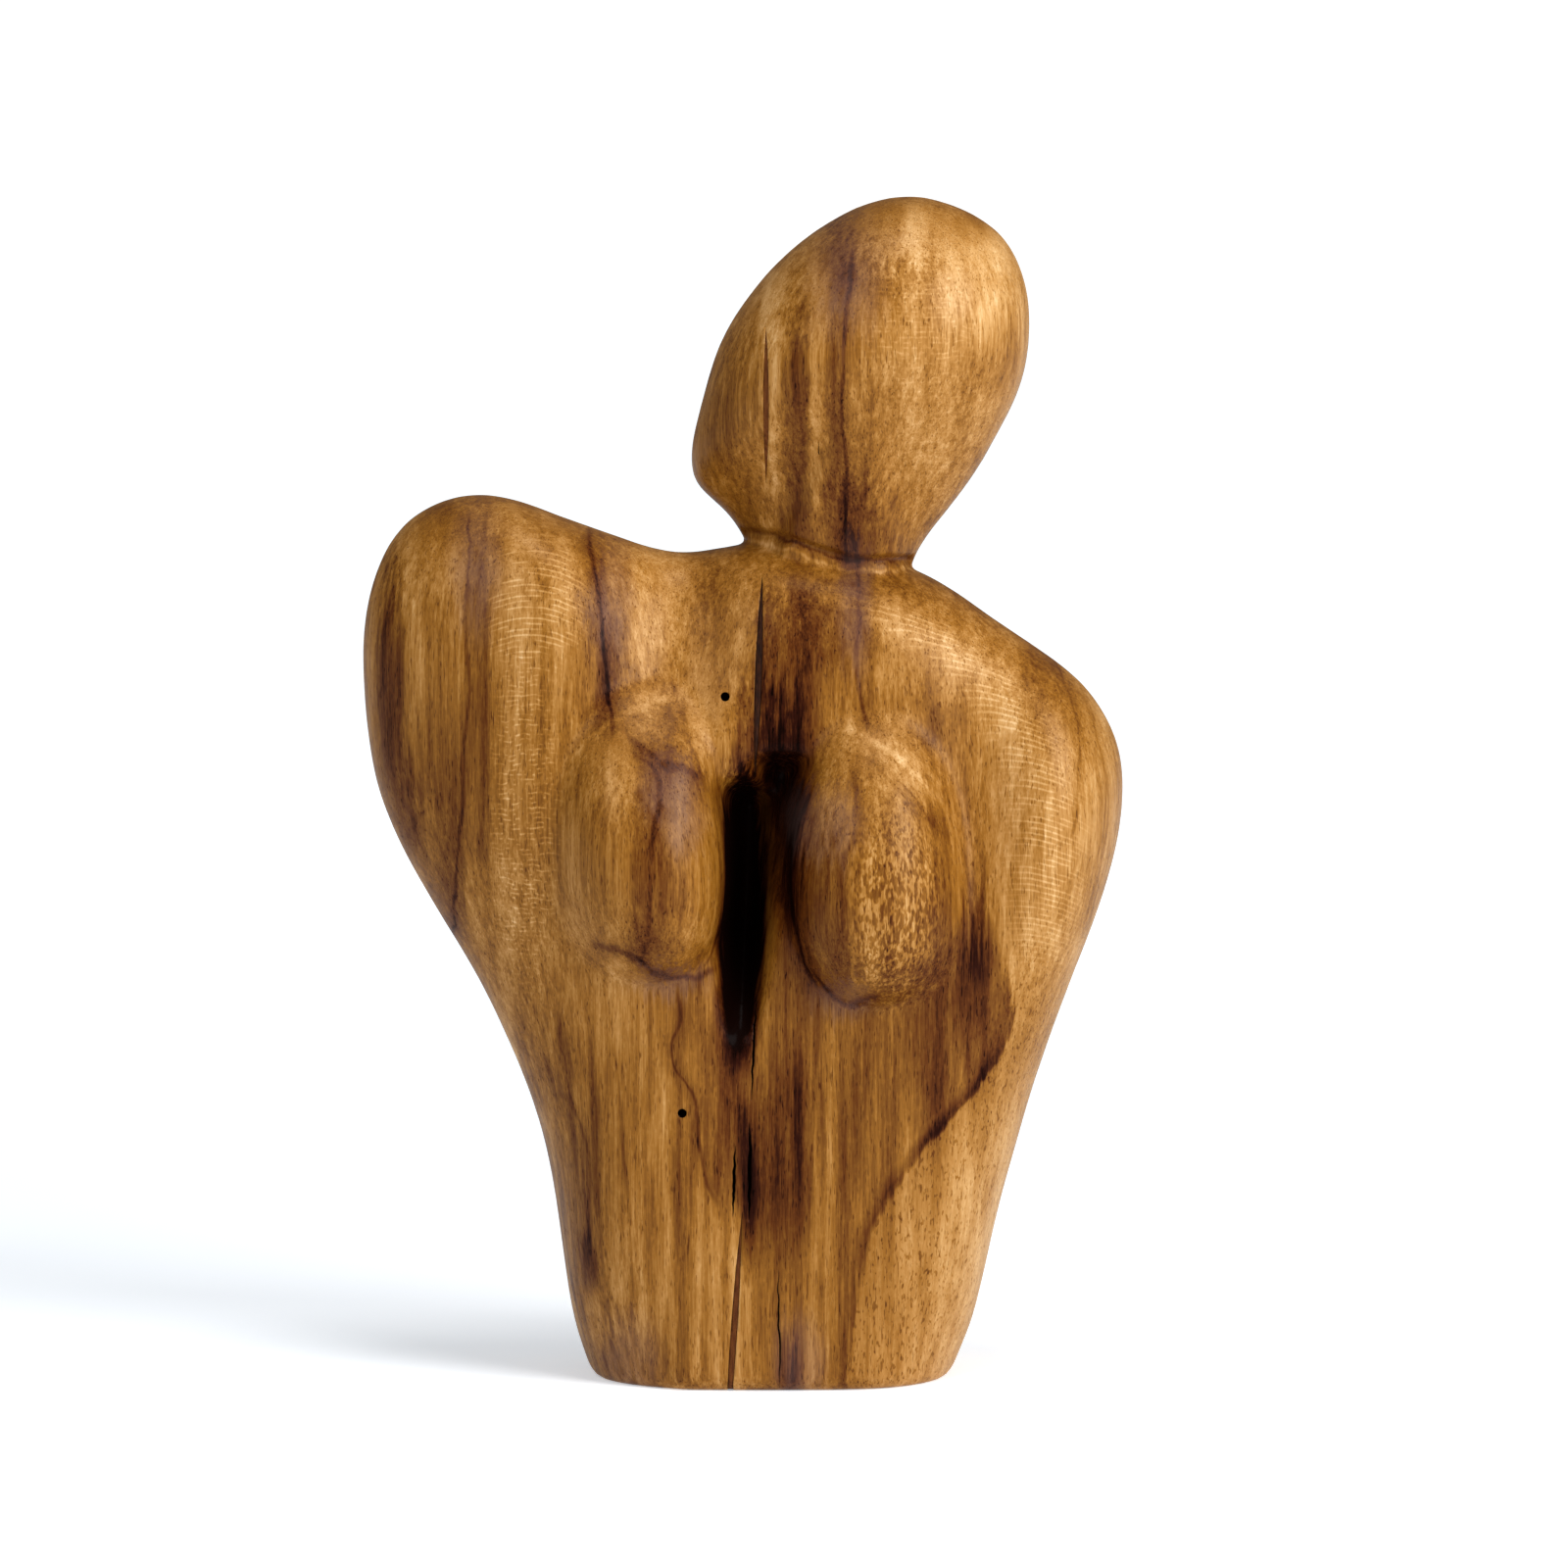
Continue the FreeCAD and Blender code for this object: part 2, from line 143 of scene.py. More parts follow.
class Wood:
    """Builds a material from a grain that runs along Z. Positions are in millimetres."""

    def __init__(self, name):
        self.material = bpy.data.materials.new(name)
        self.material.use_nodes = True
        self.tree = self.material.node_tree
        self.shader = self.tree.nodes["Principled BSDF"]
        place = self.tree.nodes.new("ShaderNodeTexCoord").outputs["Object"]
        self.place = self.vector("MULTIPLY", place, (1 / MM, 1 / MM, 1 / MM))
        split = self.tree.nodes.new("ShaderNodeSeparateXYZ")
        feed(self.tree, split.inputs[0], self.place)
        self.x, self.y, self.z = (Field(self.tree, s) for s in split.outputs)

    def vector(self, operation, *values):
        node = self.tree.nodes.new("ShaderNodeVectorMath")
        node.operation = operation
        for socket, value in zip(node.inputs, values):
            feed(self.tree, socket, value)
        return node.outputs["Value"] if operation == "LENGTH" else node.outputs["Vector"]

    def joined(self, x, y, z):
        node = self.tree.nodes.new("ShaderNodeCombineXYZ")
        for socket, value in zip(node.inputs, (x, y, z)):
            feed(self.tree, socket, value)
        return node.outputs[0]

    def noise(self, across, along, detail=2.0, place=None, roughness=0.5, offset=0.0):
        """Noise from 0 to 1 whose grains are 1/across wide and 1/along long, in millimetres."""
        scale = self.vector("MULTIPLY", place or self.place, (across, across, along))
        moved = self.vector("ADD", scale, (offset, 2.3 * offset, 1.7 * offset))
        node = self.tree.nodes.new("ShaderNodeTexNoise")
        node.inputs["Scale"].default_value = 1.0
        node.inputs["Detail"].default_value = detail
        node.inputs["Roughness"].default_value = roughness
        feed(self.tree, node.inputs["Vector"], moved)
        return Field(self.tree, node.outputs["Fac"])

    def patch(self, place, x, z, half_width, half_height, soft):
        """1 inside an ellipse of the front view, 0 outside it."""
        scale = (1 / half_width, 0, 1 / half_height)
        shift = (-x / half_width, 0, -z / half_height)
        from_middle = self.vector("MULTIPLY_ADD", place, scale, shift)
        away = Field(self.tree, self.vector("LENGTH", from_middle))
        return away.ramp(1 + soft, 1 - soft)

    def colour_ramp(self, value, stops):
        node = self.tree.nodes.new("ShaderNodeValToRGB")
        ramp = node.color_ramp
        while len(ramp.elements) < len(stops):
            ramp.elements.new(0.5)
        for element, (position, colour) in zip(ramp.elements, stops):
            element.position = position
            element.color = (*colour, 1)
        feed(self.tree, node.inputs[0], value)
        return node.outputs[0]

    def mix(self, share, a, b):
        node = self.tree.nodes.new("ShaderNodeMix")
        node.data_type = "RGBA"
        factor, first, second = node.inputs[0], node.inputs[6], node.inputs[7]
        for socket, value in ((factor, share), (first, a), (second, b)):
            feed(self.tree, socket, value)
        return node.outputs[2]

    def bump(self, height, depth_mm):
        node = self.tree.nodes.new("ShaderNodeBump")
        node.inputs["Distance"].default_value = depth_mm * MM
        feed(self.tree, node.inputs["Height"], height)
        feed(self.tree, self.shader.inputs["Normal"], node.outputs[0])

    def set(self, **values):
        for name, value in values.items():
            title = name.replace("_", " ").title().replace("Ior", "IOR")
            feed(self.tree, self.shader.inputs[title], value)


# ---- the wood's figure, in millimetres of the front view ----------------------------------------
# (x, z, half width, half height, tone): negative is darker; some are painted highlights and painted shade,
# as marked
PATCHES = (
    (-65.0, 118.5, 2.6, 17.5, -0.62),  # raised shoulder's outer edge
    (-62.0, 97.0, 1.8, 9.0, -0.35),
    (-57.0, 127.0, 6.0, 13.0, 0.18),
    (-38.5, 127.0, 7.5, 15.0, 0.22),
    (-41.0, 88.0, 9.0, 24.0, 0.12),
    (-21.0, 131.0, 5.5, 10.0, 0.20),  # saddle
    (-26.0, 121.0, 3.0, 13.0, -0.22),
    (-12.0, 125.0, 6.0, 12.0, 0.04),
    (-11.0, 129.0, 2.4, 7.0, -0.18),
    (2.8, 120.0, 5.0, 16.0, -0.36),  # beside the chest check
    (10.5, 131.0, 3.5, 9.0, -0.20),
    (24.0, 124.0, 10.0, 7.0, 0.08),  # low shoulder
    (24.0, 108.0, 9.0, 8.0, 0.02),
    # painted highlight down the low shoulder's arm crest, over pale rayed wood
    (50.0, 92.0, 5.5, 28.0, 0.22),
    (55.0, 102.0, 3.0, 14.0, 0.26),
    (-5.0, 81.0, 2.6, 20.0, -0.50),  # hollow: dark wood with painted shade
    (-3.6, 107.0, 3.4, 12.0, -0.40),
    (1.8, 106.0, 3.2, 11.0, -0.36),
    (1.4, 93.0, 3.0, 14.0, -0.60),
    (1.6, 74.0, 2.4, 10.0, -0.14),
    (-6.2, 64.5, 2.6, 9.5, -0.78),
    (-9.0, 48.0, 3.8, 16.0, -0.27),
    (1.2, 41.0, 5.0, 17.5, -0.42),  # dark tongue down the belly
    (-4.6, 36.0, 1.8, 12.0, -0.45),
    (29.0, 60.0, 9.0, 17.0, -0.26),
    (12.0, 52.0, 5.0, 22.0, -0.08),
    (-12.5, 15.0, 7.0, 15.0, 0.20),
    (-21.0, 52.0, 3.0, 14.0, 0.10),
    (-30.0, 34.0, 2.0, 20.0, -0.14),
    (-31.5, 21.0, 1.6, 5.5, -0.42),
    (-24.5, 4.0, 4.5, 7.5, -0.30),
    (2.8, 3.0, 1.9, 5.0, -0.38),
    (-7.5, 160.0, 6.0, 12.0, -0.10),  # head
    (3.4, 160.0, 2.2, 21.0, -0.42),
    (-0.8, 168.0, 1.8, 18.0, 0.30),
    (7.2, 166.0, 1.6, 18.0, 0.24),
    (7.0, 145.0, 9.0, 6.0, -0.14),
    (9.0, 160.0, 1.8, 16.0, -0.22),
    (28.0, 168.0, 13.0, 22.0, 0.16),
    # painted highlight on the head's upper right
    (35.0, 186.0, 6.5, 9.0, 0.42),
    (-3.5, 183.0, 5.0, 7.0, 0.16),
    (10.5, 189.0, 2.6, 7.0, -0.30),
    (20.0, 193.0, 7.0, 5.0, 0.26),
    (12.0, 146.0, 6.0, 6.0, -0.14),
    (-34.0, 68.0, 8.0, 14.0, 0.12),
    (-26.0, 12.0, 7.0, 12.0, 0.10),
    (-14.5, 45.0, 3.5, 12.0, 0.15),
    (-57.0, 139.0, 6.0, 6.0, 0.16),
    (43.0, 72.0, 5.0, 8.0, 0.15),
    # painted sheen on the raised breast's top
    (-28.0, 104.0, 5.0, 5.5, 0.16),
    (-10.5, 110.0, 3.6, 5.5, 0.26),
    (-29.0, 89.0, 6.0, 17.0, 0.04),  # raised breast
    (-13.0, 86.0, 4.5, 15.0, 0.10),
    (7.0, 80.0, 4.0, 15.0, -0.24),  # low breast, its inner half darker as painted shade
    (18.5, 81.0, 5.5, 13.0, 0.03),
    # painted sheen on the low breast's top
    (23.0, 104.0, 6.5, 4.0, 0.16),
    (34.0, 76.0, 3.4, 6.5, -0.34),
    (33.0, 68.0, 4.5, 7.0, -0.20),
)
# (x, z, half width, half height): bluish-grey spots, some of them painted sheen and painted shade, as
# marked
BLUISH_SPOTS = (
    # painted sheen on the raised breast's upper part
    (-17.5, 102.0, 4.6, 4.8),
    (-15.0, 96.0, 3.0, 5.0),
    # painted shade under the raised breast
    (-18.0, 69.0, 6.0, 2.6),
    # painted sheen on the low breast's upper part
    (8.5, 96.0, 5.6, 5.2),
    # painted shade under the low breast
    (11.0, 66.0, 4.6, 3.2),
    # bluish and purplish wood
    (13.5, 131.0, 2.6, 10.0),
    (-27.0, 133.0, 3.0, 8.0),
    (-24.5, 5.0, 4.5, 7.0),
    (4.0, 5.0, 4.0, 7.0),
    (12.0, 187.0, 6.0, 10.0),
    (-50.0, 138.0, 4.0, 10.0),
)
# (width, tone, ((z, x), ...)): dark growth rings that run up the figure, and painted shade in the crevices
# along the breasts' inner edges
RINGS_AND_CREVICE_SHADE = (
    (0.75, -0.50, (
        (72, -55.0), (90, -53.2), (106, -52.0), (116, -51.2), (130, -51.6), (140, -51.2),
        (149, -52.6),
    )),
    (1.1, -0.30, ((88, -49.6), (110, -48.6), (125, -48.2), (140, -48.8), (149, -47.0))),
    (0.95, -0.62, (
        (108, -26.6), (113, -27.4), (120, -27.9), (127, -28.9), (135, -29.9), (141, -31.0),
        (146, -31.4),
    )),
    (0.85, -0.62, (
        (136, 12.4), (142, 11.9), (150, 11.8), (158, 11.6), (167, 11.2), (176, 11.5), (184, 12.2),
        (193, 13.2),
    )),
    (1.0, -0.46, ((108, 16.8), (113, 15.2), (121, 13.8), (131, 14.0), (138, 13.8), (146, 12.4))),
    (0.45, -0.30, ((90, 48.6), (100, 50.6), (110, 50.9), (116.5, 49.4), (125, 45.0))),
    (0.45, -0.26, ((88, 53.6), (100, 55.6), (108, 54.4), (117, 52.2))),
    (1.2, -0.40, (
        (70, -23.0), (79, -21.0), (88, -20.4), (95, -20.0), (99.5, -18.8), (103, -19.2),
        (107.5, -23.4), (110, -26.6),
    )),
    (1.3, -0.40, (
        (66, 12.3), (70.7, 12.1), (79, 11.6), (88.5, 11.3), (94, 13.0), (99.3, 13.4), (104, 13.0),
        (108, 12.0),
    )),
    # painted shade in the crevice along the low breast's inner edge
    (0.65, -0.50, (
        (66, 8.4), (69.8, 5.9), (77.3, 3.6), (83.8, 2.6), (90.4, 2.9), (98.8, 5.0), (104.4, 8.4),
    )),
    # painted shade in the crevice along the raised breast's inner edge
    (0.65, -0.50, ((69.8, -13.7), (75.3, -10.0), (81, -8.5), (90.3, -7.8), (97.8, -8.6), (103.6, -10.4))),
    (0.5, -0.34, ((92, 27.4), (97, 25.4), (102, 21.4), (106, 17.6))),
    (0.7, -0.52, (
        (31, -8.0), (34, -11.0), (42, -12.6), (49, -13.4), (57, -17.2), (63, -15.8), (69, -17.4),
    )),
    (0.55, -0.32, ((10, -24.4), (22, -24.0), (40, -25.4), (60, -27.4))),
    (0.5, -0.30, ((22, -31.6), (36, -31.0), (52, -35.0), (66, -36.6))),
    (0.8, -0.15, ((4, 11.8), (14, 13.6), (25, 15.0), (32, 18.2), (40, 24.0))),
)
# (width, tone, ((x, z), ...)): painted shade in the crease under each breast and at the neck, and painted
# highlights on the rims over the breasts and under the neck line
CREASE_SHADE_AND_RIM_HIGHLIGHTS = (
    # painted shade in the crease under each breast
    (1.4, -0.56, (
        (-31.5, 75.0), (-27.0, 75.2), (-21.8, 72.4), (-18.9, 70.2), (-13.2, 69.9), (-8.8, 72.0),
    )),
    (1.6, -0.60, ((5.6, 72.5), (6.6, 70.4), (8.8, 67.5), (12.1, 65.5), (14.9, 66.1), (18.6, 67.5))),
    # painted highlights on the rims over the breasts
    (1.7, 0.30, ((-35.0, 105.0), (-30.3, 109.9), (-26.3, 112.7), (-20.5, 115.1), (-14.0, 117.1))),
    (1.6, 0.30, ((10.5, 111.4), (17.0, 109.1), (21.9, 105.3), (27.0, 99.8), (29.8, 93.6))),
    # painted shade just inside the raised breast's rim
    (1.7, -0.44, ((-26.4, 112.9), (-20.8, 107.3), (-15.1, 104.6), (-10.4, 103.5))),
    # painted shade in the neck crease, then a painted highlight just under it
    (0.7, -0.34, ((-6, 143.6), (1.7, 142.5), (6.8, 140.7), (13.7, 138.6), (19, 138.9), (25.5, 138.8))),
    (0.8, 0.34, ((-6, 141.9), (1.7, 140.8), (6.8, 139.0), (13.7, 136.9), (19, 137.2), (25.5, 137.1))),
    # painted shade just inside the low breast's rim
    (1.0, -0.22, ((9.5, 108.0), (15.5, 106.0), (20.0, 102.0), (24.5, 96.0), (26.5, 90.0))),
)
# where the dark heartwood ends and the pale sapwood begins, as (z, x)
SAPWOOD = (
    (-4, 11.6), (0, 11.9), (14, 13.7), (25, 15.4), (32, 19.0), (40, 24.4), (46, 29.6), (51, 34.0),
    (59.5, 38.8), (66, 39.6), (73, 38.4), (83, 33.5),
)
# (x, z, half width, half height, strength): crests that cut the rays, which show as pale ripples
RIPPLED = (
    (-42.0, 96.0, 5.5, 26.0, 1.0),
    (24.0, 178.0, 9.0, 12.0, 0.5),
    (30.0, 158.0, 10.0, 12.0, 0.3),
)
# the low shoulder's ridge, as (z, x): it cuts the rays all the way down the arm
RIDGE = (
    (60, 43.0), (68, 44.3), (81, 45.4), (92.7, 45.6), (102.5, 44.7), (110.8, 41.0), (119, 34.5),
    (125.6, 26.2), (132.2, 15.4),
)
# lower patches than this don't fray along the grain
FRAYED_HALF_HEIGHT = 5.0
WOOD_COLOURS = (
    (0.00, (0.006, 0.0012, 0.0005)),
    (0.16, (0.034, 0.0062, 0.0015)),
    (0.30, (0.116, 0.033, 0.0026)),
    (0.42, (0.190, 0.074, 0.0065)),
    (0.52, (0.285, 0.124, 0.0140)),
    (0.64, (0.405, 0.205, 0.0520)),
    (0.78, (0.550, 0.328, 0.1320)),
    (1.00, (0.780, 0.580, 0.3400)),
)
BLUISH_GREY = (0.215, 0.132, 0.115)


class FiguredWood(Wood):
    """The block's wood. Its tone runs from -1, nearly black, to 1, pale."""

    def __init__(self):
        super().__init__("figured_wood")
        self.front = self.y.ramp(6.0, -5.0)
        self.wander = self.noise(0.35, 0.06, offset=11.0)
        self.streak = self.noise(0.9, 0.03, offset=23.0)
        self.fibre = self.noise(2.6, 0.10, detail=3.0, roughness=0.6, offset=5.0)
        self.hair = self.noise(6.0, 0.30, offset=31.0)
        self.ring_x = self.swept_x()
        frayed_z = self.z + self.streak.swing(11.0) + self.fibre.swing(5.0)
        self.fray = self.joined(self.x + self.wander.swing(3.0), 0.0, frayed_z)
        self.calm = self.joined(self.x + self.wander.swing(1.8), 0.0, self.z + self.wander.swing(3.0))

    def swept_x(self):
        """x for the growth rings, which sweep sideways as they go through the block to the back."""
        drift = self.noise(0.045, 0.012, detail=1.0)
        swept = self.x + self.y.math("MAXIMUM", 0.0) * 0.55
        return swept + drift.swing(self.y.ramp(-4.0, 18.0, 0.0, 14.0))

    def grain(self):
        """Growth bands, veins and fibres."""
        ring_place = self.joined(self.ring_x, self.y * 0.35, self.z)
        bands = self.noise(0.15, 0.006, detail=3.0, place=ring_place, roughness=0.55, offset=3.0)
        vein = self.noise(0.42, 0.016, offset=91.0)
        tone = bands.ramp(0.28, 0.72, -0.20, 0.20) + self.streak.swing(0.70)
        tone = tone + vein.swing(self.z.ramp(72.0, 44.0, 0.25, 1.0))
        return tone + self.fibre.swing(0.62) + self.hair.swing(0.44)

    def line(self, off, along, points, width, halo_reach, halo, end_fade):
        """A soft line where off is 0, which fades out at both ends of its points."""
        first, last = points[0][0], points[-1][0]
        half = abs(last - first) / 2
        core = off.size().ramp(width, 0.0)
        halo = off.size().ramp(width * halo_reach, 0.0, 0.0, halo)
        ends = (along - (first + last) / 2).size().ramp(half, half - end_fade)
        return core.math("MAXIMUM", halo) * ends

    def rings(self):
        """Dark growth rings, which go through to the back, and painted shade along the breasts' inner
        edges.
        """
        ring_x = self.ring_x + self.wander.swing(1.7)
        broken = self.streak.ramp(0.25, 0.55, 0.45, 1.0)
        lines = []
        for width, tone, points in RINGS_AND_CREVICE_SHADE:
            off = ring_x - self.z.curve(points)
            lines.append(self.line(off, self.z, points, width, 4.0, 0.40, 5.0) * tone)
        return total(lines) * broken

    def crease_shade_and_rim_highlights(self):
        """Painted shade in the crease under each breast and at the neck, and painted highlights on the
        rims.
        """
        level = self.z + self.wander.swing(2.6)
        broken = self.streak.ramp(0.2, 0.6, 0.4, 1.0)
        lines = []
        for width, tone, points in CREASE_SHADE_AND_RIM_HIGHLIGHTS:
            off = level - self.x.curve(points)
            lines.append(self.line(off, self.x, points, width, 3.0, 0.35, 3.0) * tone)
        return total(lines) * broken * self.front

    def patches(self):
        """Darker and paler patches of the front, and painted shade over dark wood deep in the hollow."""
        marks = []
        for x, z, half_width, half_height, tone in PATCHES:
            place = self.calm if half_height < FRAYED_HALF_HEIGHT else self.fray
            marks.append(self.patch(place, x, z, half_width, half_height, 0.6) * tone)
        # painted shade: the hollow darkens where its surface lies deeper
        hollow_shade = self.y.ramp(-24.0, -18.5) * self.patch(self.fray, -5.7, 81.0, 3.7, 22.0, 0.35)
        return (total(marks) - hollow_shade * 0.95) * self.front

    def with_sapwood(self, tone):
        """The tone with sapwood on the low side of the foot and the last dark ring at its edge."""
        edge = self.x + self.wander.swing(2.0) + self.streak.swing(2.4) - self.z.curve(SAPWOOD)
        low_down = self.z.ramp(80.0, 62.0)
        sap = edge.ramp(-0.8, 0.9) * low_down
        rim = edge.ramp(-3.2, -0.6) * edge.ramp(0.5, -0.2) * low_down
        rim = rim * self.front * self.z.ramp(24.0, 50.0, 0.12, 0.42)
        dashes = self.noise(2.2, 0.75, detail=1.0, offset=41.0).ramp(0.60, 0.68)
        pale = edge.ramp(-1.0, 14.0, 0.14, 0.33)
        return tone * sap.ramp(0.0, 1.0, 1.0, 0.6) + sap * pale - rim - dashes * sap * 0.32

    def ripples(self):
        """Short pale ripples across the grain, where a surface cuts the rays."""
        sway = self.noise(0.22, 0.10, offset=57.0)
        phase = self.z * 7.6 + sway.swing(14.0) + self.wander.swing(3.0)
        short = self.noise(0.95, 0.95, detail=1.0, offset=61.0).ramp(0.44, 0.64)
        return phase.math("SINE").ramp(-0.2, 1.0) * short

    def crests(self):
        """1 on the rippled crests of the front. The whole back is a little rippled."""
        spots = [self.patch(self.fray, *spot, 0.5) * strength for *spot, strength in RIPPLED]
        return largest(spots) * self.front + self.y.ramp(2.0, 16.0, 0.0, 0.2)

    def shoulder_arcs(self):
        """Long bowed ripples on the raised shoulder."""
        bow = self.x + 41.0
        phase = (self.z + bow * bow * 0.035) * 6.8 + self.wander.swing(2.4)
        long = self.noise(0.16, 0.75, detail=1.0, offset=67.0).ramp(0.42, 0.56)
        place = self.patch(self.fray, -40.0, 132.0, 8.0, 11.0, 0.35)
        return phase.math("SINE").ramp(0.0, 1.0) * long * place * self.front

    def ridge_sheen_and_ripples(self):
        """Painted sheen along the low shoulder's ridge, and the wood's bowed ripples down it."""
        off = self.x - self.z.curve(RIDGE)
        along = self.z.ramp(64.0, 84.0) * self.z.ramp(136.0, 129.0) * self.front
        ridge = off.size().ramp(9.5, 0.5) * along
        phase = (self.z + off * off * 0.03 + self.x * 0.28) * 6.6 + self.wander.swing(2.6)
        broken = self.noise(0.22, 0.65, detail=1.0, offset=79.0).ramp(0.38, 0.52)
        # painted sheen: the 0.22 band along the whole ridge; the bowed ripples are the wood's own
        return ridge * (phase.math("SINE").ramp(-0.1, 1.0) * broken * 0.24 + 0.22)

    def with_bluish_spots(self, colour):
        """The colour with bluish-grey spots: painted sheen on the breasts' upper parts, painted shade
        under them, and bluish and purplish wood elsewhere.
        """
        spots = largest(self.patch(self.fray, *spot, 0.6) for spot in BLUISH_SPOTS)
        share = spots * self.front * self.streak.ramp(0.2, 0.6, 0.5, 1.0) * 0.55
        return self.mix(share, colour, self.mix(0.5, colour, BLUISH_GREY))


def wood_material():
    wood = FiguredWood()
    ripple = wood.ripples()
    crest = wood.crests()
    scales = wood.noise(1.7, 0.85, detail=1.0, offset=73.0).ramp(0.50, 0.64)
    mottle = wood.noise(1.9, 0.70, detail=1.0, offset=71.0).ramp(0.42, 0.60, -0.24, 0.16)
    mottled = wood.patch(wood.fray, 20.0, 82.0, 7.5, 15.0, 0.4) * wood.front  # the low breast
    pores = wood.noise(4.2, 0.42, detail=1.0, offset=83.0).ramp(0.63, 0.72)

    tone = wood.with_sapwood(wood.grain() + wood.rings() + wood.crease_shade_and_rim_highlights() + wood.patches())
    tone = tone + wood.ridge_sheen_and_ripples() + ripple * crest * 0.30 + wood.shoulder_arcs() * 0.26
    tone = tone + scales * (crest * 0.07 + 0.06) + mottle * mottled - pores * 0.30

    # Dark wood shines less.
    colour = wood.colour_ramp(tone.math("MULTIPLY_ADD", 0.5, 0.5), WOOD_COLOURS)
    wood.set(
        base_color=wood.with_bluish_spots(colour),
        roughness=wood.fibre.ramp(0.25, 0.75, 0.38, 0.52) + pores * 0.15 + tone.ramp(-0.7, -1.1, 0.0, 0.3),
        coat_weight=0.04,
        coat_roughness=0.22,
        specular_ior_level=tone.ramp(-1.0, 0.1, 0.02, 0.22),
    )
    wood.bump(wood.fibre * 0.35 + wood.hair * 0.25 + ripple * crest * 0.20 - pores * 0.9, 0.05)
    return wood.material


def dark_material(name, low, high, roughness):
    """Dark stopping, or the painted shade inside a slit, crack or pinhole."""
    dark = Wood(name)
    grain = dark.noise(3.0, 0.35, detail=3.0)
    grit = dark.noise(7.0, 7.0, offset=9.0)
    dark.set(
        base_color=dark.mix(grain.ramp(0.3, 0.7), low, high),
        roughness=grit.ramp(0.3, 0.7, roughness, roughness + 0.15),
        specular_ior_level=0.15,
    )
    dark.bump(grit + grain * 0.6, 0.08)
    return dark.material


# ---- geometry helpers ---------------------------------------------------------------------------
def new_object(name, mesh):
    piece = bpy.data.objects.new(name, mesh)
    SCENE.collection.objects.link(piece)
    return piece


def joined_copy(name, sources):
    """One mesh object with welded copies of these objects' meshes."""
    build = bmesh.new()
    for source in sources:
        build.from_mesh(source.data)
    bmesh.ops.remove_doubles(build, verts=build.verts, dist=1e-6)
    mesh = bpy.data.meshes.new(name)
    build.to_mesh(mesh)
    build.free()
    return new_object(name, mesh)


def apply_modifier(piece, kind, **settings):
    modifier = piece.modifiers.new(kind, kind)
    for name, value in settings.items():
        setattr(modifier, name, value)
    graph = bpy.context.evaluated_depsgraph_get()
    mesh = bpy.data.meshes.new_from_object(piece.evaluated_get(graph))
    piece.modifiers.clear()
    old, piece.data = piece.data, mesh
    bpy.data.meshes.remove(old)


def prism(name, outline, front, back):
    """A closed prism along Y over an outline of (x, z) points, between front(x, z) and back."""
    count = len(outline)
    corners = [(x, front(x, z), z) for x, z in outline] + [(x, back, z) for x, z in outline]
    sides = [(k, (k + 1) % count, (k + 1) % count + count, k + count) for k in range(count)]
    faces = [tuple(range(count))[::-1], tuple(range(count, 2 * count))] + sides
    mesh = bpy.data.meshes.new(name)
    mesh.from_pydata(corners, [], faces)
    build = bmesh.new()
    build.from_mesh(mesh)
    bmesh.ops.recalc_face_normals(build, faces=build.faces)
    build.to_mesh(mesh)
    build.free()
    return new_object(name, mesh)


def vertex_values(mesh, attribute):
    flat = np.empty(len(mesh.vertices) * 3)
    mesh.vertices.foreach_get(attribute, flat)
    return flat.reshape(-1, 3)


def coordinates(mesh):
    return vertex_values(mesh, "co")


def put_coordinates(mesh, points):
    mesh.vertices.foreach_set("co", points.reshape(-1))
    mesh.update()


def at(x_share, z_share):
    """A point of the front view, from shares of the figure's width and height."""
    return x_share * WIDTH, z_share * HEIGHT


def lens(top, foot, width, wobble=0.0, steps=28):
    """Outline of a check that is widest half way and comes to a point at both ends."""
    tip = 0.01 * MM
    bends = 9.0
    seed = top[0] * 900.0
    left, right = [], []
    for k in range(steps + 1):
        t = k / steps
        x = top[0] + t * (foot[0] - top[0])
        z = top[1] + t * (foot[1] - top[1])
        half = 0.5 * width * (1.0 - (2.0 * t - 1.0) ** 2) + tip
        sway = wobble * noise.noise(Vector((t * bends, seed, 0.0)))
        left.append((x + sway - half, z))
        right.append((x + sway + half, z))
    return left + right[::-1]


def disc(centre, radius, steps=28):
    turns = [2 * math.pi * k / steps for k in range(steps)]
    return [(centre[0] + radius * math.cos(a), centre[1] + radius * math.sin(a)) for a in turns]


# ---- sizes of the surface and its openings -------------------------------------------------------
VOXEL = 0.55 * MM
LONG_WAVE = {"height": 0.14 * MM, "across": 70.0, "along": 70.0}  # waves per metre
SHORT_WAVE = {"height": 0.05 * MM, "across": 260.0, "along": 110.0}
STILL_FOOT = 1.0 * MM  # the waves are nothing below this, and whole WAVE_RISE above it
WAVE_RISE = 3.0 * MM
STOPPING_RECESS = 0.10 * MM
SLIT_DEPTH = 3.5 * MM
SLIT_WOBBLE = 0.25 * MM
CRACK_DEPTH = 0.9 * MM
PINHOLE_RADIUS = 0.75 * MM
PINHOLE_DEPTH = 4.0 * MM
PLUG_MARGIN = 0.05 * MM  # plugs are this much bigger all round than the openings they fill
PLUG_DEPTH = 6.0 * MM
CLEAR_IN_FRONT = -0.06  # a y that lies in front of the whole figure

